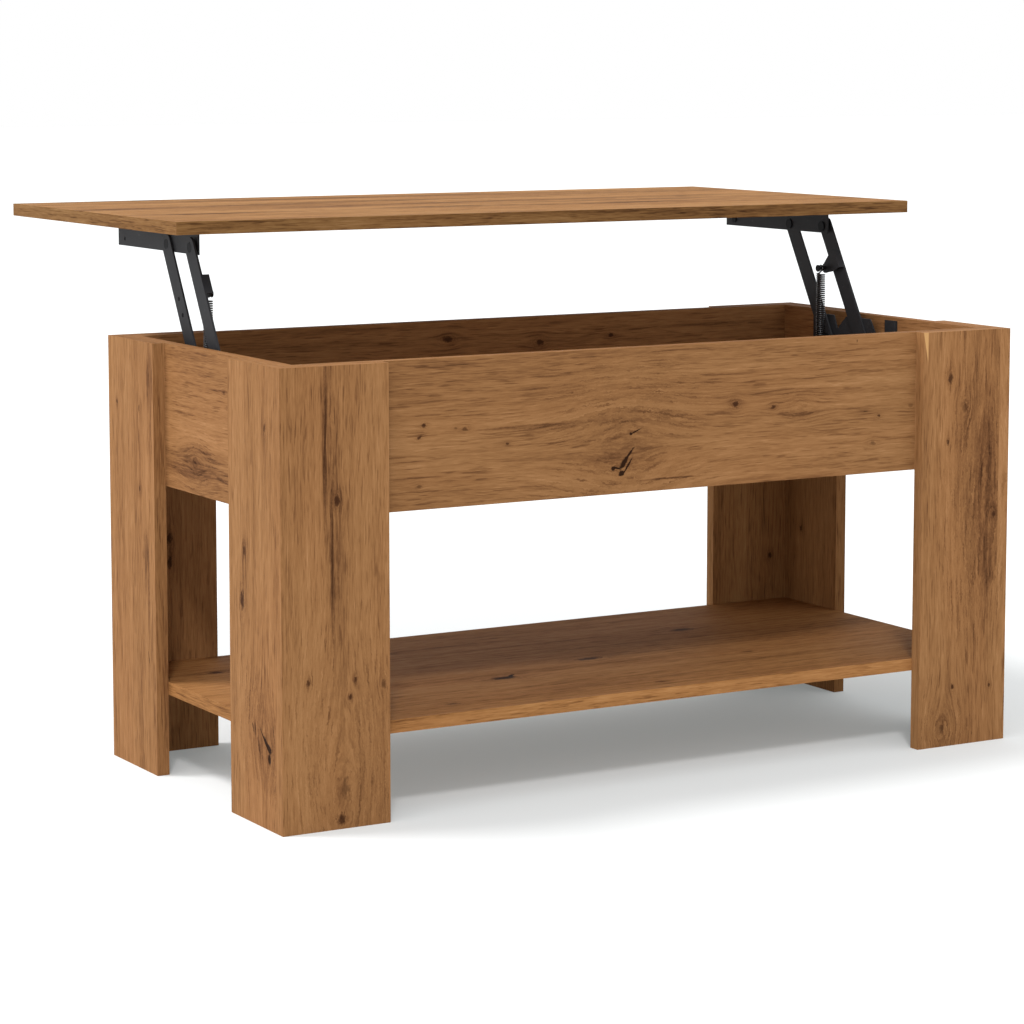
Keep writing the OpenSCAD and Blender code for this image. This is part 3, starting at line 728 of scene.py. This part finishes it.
def cross_outline(reach, half_width):
    """The twelve corners of a cross-shaped recess."""
    corners = []
    for quarter in range(4):
        turn = Matrix.Rotation(quarter * math.pi / 2, 2)
        for x, y in ((reach, -half_width), (reach, half_width), (half_width, half_width)):
            corners.append(turn @ Vector((x, y)))
    return corners


HEAD_SINK = 0.4 * MM     # how far a head's open underside is sunk
DOME_STEPS = 5
DOME_FLAT = 0.62         # the level middle of a dome's top, against its radius
DISC_FLAT = 0.93
RECESS_TAPER = 0.72      # the cross recess at its bottom, against its top


def screw_head(radius, rise, recess_depth, reach, half_width, dome=True):
    """A round head on Z = 0 with a cross recess, its open underside sunk in what it holds."""
    bm = bmesh.new()
    flat = radius * (DOME_FLAT if dome else DISC_FLAT)
    profile = [(radius, -HEAD_SINK)]
    for i in range(DOME_STEPS + 1):
        turn = i / DOME_STEPS * math.pi / 2
        profile.append((flat + (radius - flat) * math.cos(turn), rise * math.sin(turn)))
    top = lathe(bm, profile)[-1]
    low = [bm.verts.new((RECESS_TAPER * p.x, RECESS_TAPER * p.y, rise - recess_depth))
           for p in cross_outline(reach, half_width)]
    high = [bm.verts.new((p.x, p.y, rise)) for p in cross_outline(reach, half_width)]
    count = len(high)
    rim = []
    for i in range(count):
        j = (i + 1) % count
        bm.faces.new((high[i], low[i], low[j], high[j]))
        rim.append(bm.edges.get((high[i], high[j])))
    bm.faces.new(low)
    rim += [bm.edges.get((top[i], top[(i + 1) % len(top)])) for i in range(len(top))]
    bmesh.ops.triangle_fill(bm, edges=rim, use_beauty=True)
    return bm


def solids(node):
    """The lowest and highest corner of each separate solid in a node."""
    bm = bmesh.new()
    bm.from_mesh(frame["nodes"][node].data)
    bmesh.ops.remove_doubles(bm, verts=bm.verts, dist=1e-6)
    found, seen = [], set()
    for start in bm.verts:
        if start in seen:
            continue
        group, waiting = [], [start]
        seen.add(start)
        while waiting:
            vert = waiting.pop()
            group.append(vert.co.copy())
            for edge in vert.link_edges:
                other = edge.other_vert(vert)
                if other not in seen:
                    seen.add(other)
                    waiting.append(other)
        low = Vector([min(p[a] for p in group) for a in range(3)])
        high = Vector([max(p[a] for p in group) for a in range(3)])
        found.append((low, high))
    bm.free()
    return found


def outward(low, high, facing):
    """The middle of a solid's end that faces that way."""
    middle = (low + high) / 2
    for axis in range(3):
        if facing[axis]:
            middle[axis] = high[axis] if facing[axis] > 0 else low[axis]
    return middle


def place_copies(name, head, spots, node, material):
    """Joins a copy of the head at each (place, facing, turn in degrees) into one piece."""
    master = bpy.data.meshes.new(name + "_master")
    head.to_mesh(master)
    head.free()
    bm = bmesh.new()
    for place, facing, turn in spots:
        before = len(bm.verts)
        bm.from_mesh(master)
        bm.verts.ensure_lookup_table()
        matrix = Vector(facing).to_track_quat("Z", "Y").to_matrix().to_4x4()
        matrix = Matrix.Translation(place) @ matrix @ Matrix.Rotation(math.radians(turn), 4, "Z")
        bmesh.ops.transform(bm, matrix=matrix, verts=bm.verts[before:])
    bpy.data.meshes.remove(master)
    return finish_piece(name, bm, body_of_node(node), [material], [node])


def facing_of(low, high, middle):
    """A solid's long axis, pointing towards the point in the middle."""
    size = high - low
    axis = max(range(3), key=lambda a: size[a])
    facing = [0, 0, 0]
    facing[axis] = 1 if middle[axis] > (low[axis] + high[axis]) / 2 else -1
    return facing


PAN_RISE = 2.2 * MM      # height of a pan head
DOWN = (0, 0, -1)


def pan_head():
    """The head of a screw that holds steel on a board."""
    return screw_head(radius=4.0 * MM, rise=PAN_RISE, recess_depth=1.5 * MM, reach=2.1 * MM,
                      half_width=0.45 * MM)


def add_heads(name, node, head, material, turn_step, facing=None, sink=0.0):
    """Puts a head on the end of each of a node's screws, each turned further than the last.
    Without a facing, a screw's head faces the middle of the table."""
    low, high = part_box("shelf")
    spots = []
    for i, (a, b) in enumerate(solids(node)):
        way = facing or facing_of(a, b, (low + high) / 2)
        spots.append((outward(a, b, way) - sink * Vector(way), way, turn_step * i))
    place_copies(name, head, spots, node, material)


def add_screws(material):
    """Heads with a cross recess in place of the plain screw heads."""
    head = screw_head(radius=4.0 * MM, rise=0.25 * MM, recess_depth=1.5 * MM, reach=2.2 * MM,
                      half_width=0.5 * MM, dome=False)
    add_heads("leg_screw_heads", "leg_screws", head, material, turn_step=37)
    for side in SIDES:
        add_heads("base_screw_heads_" + side, "base_screws_" + side, pan_head(), material,
                  turn_step=31, sink=PAN_RISE)
        add_heads("top_screw_heads_" + side, "top_screws_" + side, pan_head(), material,
                  turn_step=43, facing=DOWN, sink=PAN_RISE)
    head = screw_head(radius=7.5 * MM, rise=0.2 * MM, recess_depth=2.0 * MM, reach=3.4 * MM,
                      half_width=0.9 * MM, dome=False)
    add_heads("cam_disc_faces", "cam_discs", head, material, turn_step=29, facing=DOWN)


# ---- springs ----

WIRE = 2.0 * MM
COIL_RADIUS = 5.0 * MM
COIL_TURNS = 48
HOOK_LENGTH = 7 * MM      # from a pin's middle to the coil
LOOP_RADIUS = 3.7 * MM
COIL_STEPS = 20           # points in one turn of the coil
LOOP_START = -55          # degrees from level where a hook's loop starts
LOOP_TURN = 325           # degrees that it goes round its pin
LOOP_STEPS = 24
NECK_STEPS = 12


def wire_route(upper, lower):
    """The middle line of a spring's wire: hook, neck, coil, neck, hook, from below to above."""
    points = []
    coil_low = lower.z + HOOK_LENGTH
    coil_high = upper.z - HOOK_LENGTH

    def hook(pin, way):
        """A loop round a pin that opens beside its neck; way is 1 where the coil is above."""
        made = []
        for i in range(LOOP_STEPS + 1):
            turn = math.radians(LOOP_START + LOOP_TURN * i / LOOP_STEPS)
            made.append(Vector((pin.x, pin.y + LOOP_RADIUS * math.cos(turn),
                                pin.z - way * LOOP_RADIUS * math.sin(turn))))
        return made

    def neck(pin, coil_z, way):
        """From the loop's end beside the pin, inwards to the axis and out to the coil."""
        made = []
        start = pin.z + way * LOOP_RADIUS
        for i in range(1, NECK_STEPS):
            t = i / NECK_STEPS
            ease = t * t * (3 - 2 * t)
            turn = math.pi / 2 * t
            reach = COIL_RADIUS * ease
            made.append(Vector((pin.x + reach * math.sin(turn) * 0.2,
                                pin.y + reach * math.cos(turn * 0.2),
                                start + (coil_z - start) * t)))
        return made

    points += hook(lower, 1)
    points += neck(lower, coil_low, 1)
    steps = COIL_TURNS * COIL_STEPS
    for i in range(steps + 1):
        turn = 2 * math.pi * i / COIL_STEPS
        points.append(Vector((upper.x + COIL_RADIUS * math.sin(turn),
                              upper.y + COIL_RADIUS * math.cos(turn),
                              coil_low + (coil_high - coil_low) * i / steps)))
    points += reversed(neck(upper, coil_high, -1))
    points += reversed(hook(upper, -1))
    return points


def sweep(bm, points, radius, sides=10):
    """A round tube along the points, with closed ends."""
    rings = []
    up = Vector((1, 0, 0))
    for i, point in enumerate(points):
        ahead = (points[min(i + 1, len(points) - 1)] - points[max(i - 1, 0)]).normalized()
        up = (up - ahead * up.dot(ahead)).normalized()
        side = ahead.cross(up)
        rings.append([bm.verts.new(point + radius * (math.cos(a) * up + math.sin(a) * side))
                      for a in (2 * math.pi * k / sides for k in range(sides))])
    for lower, upper in zip(rings, rings[1:]):
        for k in range(sides):
            j = (k + 1) % sides
            bm.faces.new((lower[k], lower[j], upper[j], upper[k]))
    bm.faces.new(reversed(rings[0]))
    bm.faces.new(rings[-1])


def add_spring(side, material):
    """A wound wire with a hook at each end, made to run between its two pins where they stand now.
    """
    pins = []
    coil_low, coil_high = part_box("spring_" + side)
    for node in ("spring_stud_", "spring_anchor_"):
        low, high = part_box(node + side)
        pin = (low + high) / 2
        pin.x = (coil_low.x + coil_high.x) / 2
        pins.append(pin)
    upper, lower = pins
    bm = bmesh.new()
    sweep(bm, wire_route(upper, lower), WIRE / 2)
    nodes = ["spring_" + side, "spring_hook_" + side]
    spring = finish_piece("spring_wire_" + side, bm, None, [material], nodes)
    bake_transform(spring)


# ---- the table ----

add_camera()
add_surroundings()
add_floor()
add_sun("key_front", (-0.48, -0.86, 1.0), strength=1.15, softness=8)
add_sun("key_left", (-0.50, 0.28, 1.0), strength=1.9, softness=15)
add_sun("fill_left", (-1.0, -0.35, 0.35), strength=1.2, softness=80)

for i, (node, (grain, marks)) in enumerate(BOARDS.items()):
    add_board(node, grain, FIRST_SEED + SEED_STEP * i, marks, **BOARD_TONES.get(node, {}))

black = black_steel_material("black_steel_coat", (0.022, 0.022, 0.024), roughness=0.50)
zinc = zinc_material("zinc_plate", (0.62, 0.63, 0.64), roughness=0.34)
rivet_black = black_steel_material("black_rivets", (0.007, 0.007, 0.008), roughness=0.55)
spring_steel = zinc_material("spring_wire", (0.09, 0.09, 0.094), roughness=0.24)

for side in SIDES:
    for node in ("base_bracket_", "top_rail_", "rear_arm_", "front_arm_"):
        softened(node + side, [black], radius=0.25 * MM, fold_radius=1.0 * MM)
    for node in ("base_rivets_", "top_rivets_"):
        softened(node + side, [rivet_black], radius=0.5 * MM)
    for node in ("spring_stud_", "spring_anchor_"):
        softened(node + side, [rivet_black], radius=0.3 * MM)
    add_spring(side, spring_steel)

add_screws(zinc)
for node, material in (("dowels", beech_material()), ("cam_bolts", zinc), ("panel_screws", zinc)):
    frame["nodes"][node].data.materials[0] = material
